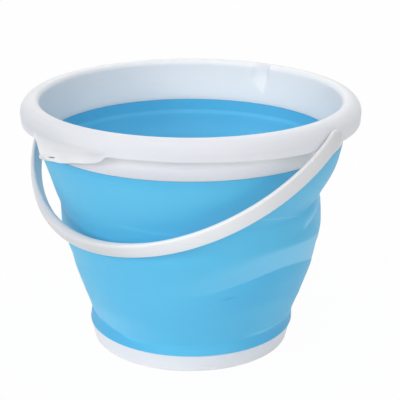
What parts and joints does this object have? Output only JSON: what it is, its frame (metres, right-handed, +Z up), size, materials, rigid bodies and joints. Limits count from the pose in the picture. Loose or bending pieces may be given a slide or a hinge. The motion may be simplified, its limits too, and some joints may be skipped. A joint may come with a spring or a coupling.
{
  "type": "collapsible bucket",
  "caption": "Round folding bucket with a rigid rolled rim and base, a soft banded wall that collapses, a strap bail, a pouring groove and a hanging tab.",
  "frame": {"origin": "on the floor at the centre of the base's foot ring, which is the middle of the overall box", "axes": "+Z up; X along the bail's pivots; the bail hangs down towards -Y; the pouring groove faces +Y"},
  "size_m": [0.3292, 0.32, 0.2426],
  "materials": {
    "white_plastic": "smooth moulded polypropylene, soft gloss",
    "blue_rubber": "soft satin rubber, slightly wrinkled"
  },
  "bodies": {
    "base_unit": {"base": "white_plastic", "foot_band": "blue_rubber", "lower_web": "blue_rubber"},
    "lower_ring": {"lower_band": "blue_rubber", "middle_web": "blue_rubber"},
    "middle_ring": {"middle_band": "blue_rubber", "upper_web": "blue_rubber"},
    "rim_unit": {"collar": "white_plastic", "upper_band": "blue_rubber"},
    "handle": {"bail": "white_plastic"}
  },
  "joints": [
    {"name": "upper_fold", "type": "slide", "parent": "middle_ring", "child": "rim_unit", "axis": [0, 0, -1], "range_m": [0, 0.058], "deforming": ["upper_web"]},
    {"name": "middle_fold", "type": "slide", "parent": "lower_ring", "child": "middle_ring", "axis": [0, 0, -1], "range_m": [0, 0.0435], "deforming": ["middle_web"]},
    {"name": "lower_fold", "type": "slide", "parent": "base_unit", "child": "lower_ring", "axis": [0, 0, -1], "range_m": [0, 0.0696], "deforming": ["lower_web"]},
    {"name": "bail_swing", "type": "hinge", "parent": "rim_unit", "child": "handle", "pos_m": [0, 0, 0.2285], "axis": [-1, 0, 0], "range_deg": [0, 251]}
  ],
  "couplings": [
    {"joint": "middle_fold", "follows": "upper_fold", "ratio": 0.75},
    {"joint": "lower_fold", "follows": "upper_fold", "ratio": 1.2}
  ]
}
